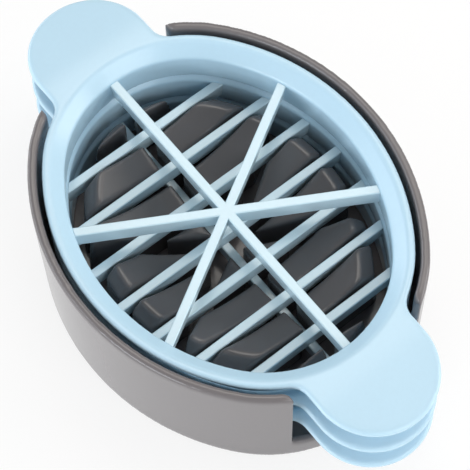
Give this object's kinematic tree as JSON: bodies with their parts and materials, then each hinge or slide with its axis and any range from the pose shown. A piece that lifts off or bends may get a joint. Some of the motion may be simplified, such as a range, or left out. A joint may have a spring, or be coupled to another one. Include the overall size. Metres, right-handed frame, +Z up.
{
  "type": "egg slicer",
  "caption": "Oval kitchen egg slicer: a grey bowl with a grooved, dished egg cradle and a stack of light blue cutting frames with end tabs, for egg halves, slices and wedges.",
  "frame": {"origin": "under the middle of the bowl, on the surface it stands on", "axes": "+X along the handle tabs, +Y across the bowl, +Z up"},
  "size_m": [0.14, 0.0882, 0.0394],
  "materials": {
    "bowl": "satin grey moulded plastic",
    "cutter": "satin-gloss light blue moulded plastic"
  },
  "bodies": {
    "base": {"base_bowl": "bowl", "cradle_row_1_left": "bowl", "cradle_row_1_right": "bowl", "cradle_row_2_left": "bowl", "cradle_row_2_right": "bowl", "cradle_row_3_left": "bowl", "cradle_row_3_right": "bowl", "cradle_row_4_left": "bowl", "cradle_row_4_right": "bowl", "cradle_row_5_left": "bowl", "cradle_row_5_right": "bowl", "cradle_row_6_left": "bowl", "cradle_row_6_right": "bowl", "cradle_row_7_left": "bowl", "cradle_row_7_right": "bowl", "cradle_row_8_left": "bowl", "cradle_row_8_right": "bowl"},
    "half_cutter": {"half_blade": "cutter", "half_frame": "cutter"},
    "slice_cutter": {"slice_blade_1": "cutter", "slice_blade_2": "cutter", "slice_blade_3": "cutter", "slice_blade_4": "cutter", "slice_blade_5": "cutter", "slice_blade_6": "cutter", "slice_blade_7": "cutter", "slice_frame": "cutter"},
    "wedge_cutter": {"wedge_blades": "cutter", "wedge_frame": "cutter"}
  },
  "joints": [
    {"name": "half_cutter_lift", "type": "slide", "parent": "base", "child": "half_cutter", "axis": [0, 0, 1], "range_m": [0, 0.045]},
    {"name": "slice_cutter_lift", "type": "slide", "parent": "half_cutter", "child": "slice_cutter", "axis": [0, 0, 1], "range_m": [0, 0.045]},
    {"name": "wedge_cutter_lift", "type": "slide", "parent": "slice_cutter", "child": "wedge_cutter", "axis": [0, 0, 1], "range_m": [0, 0.045]}
  ]
}
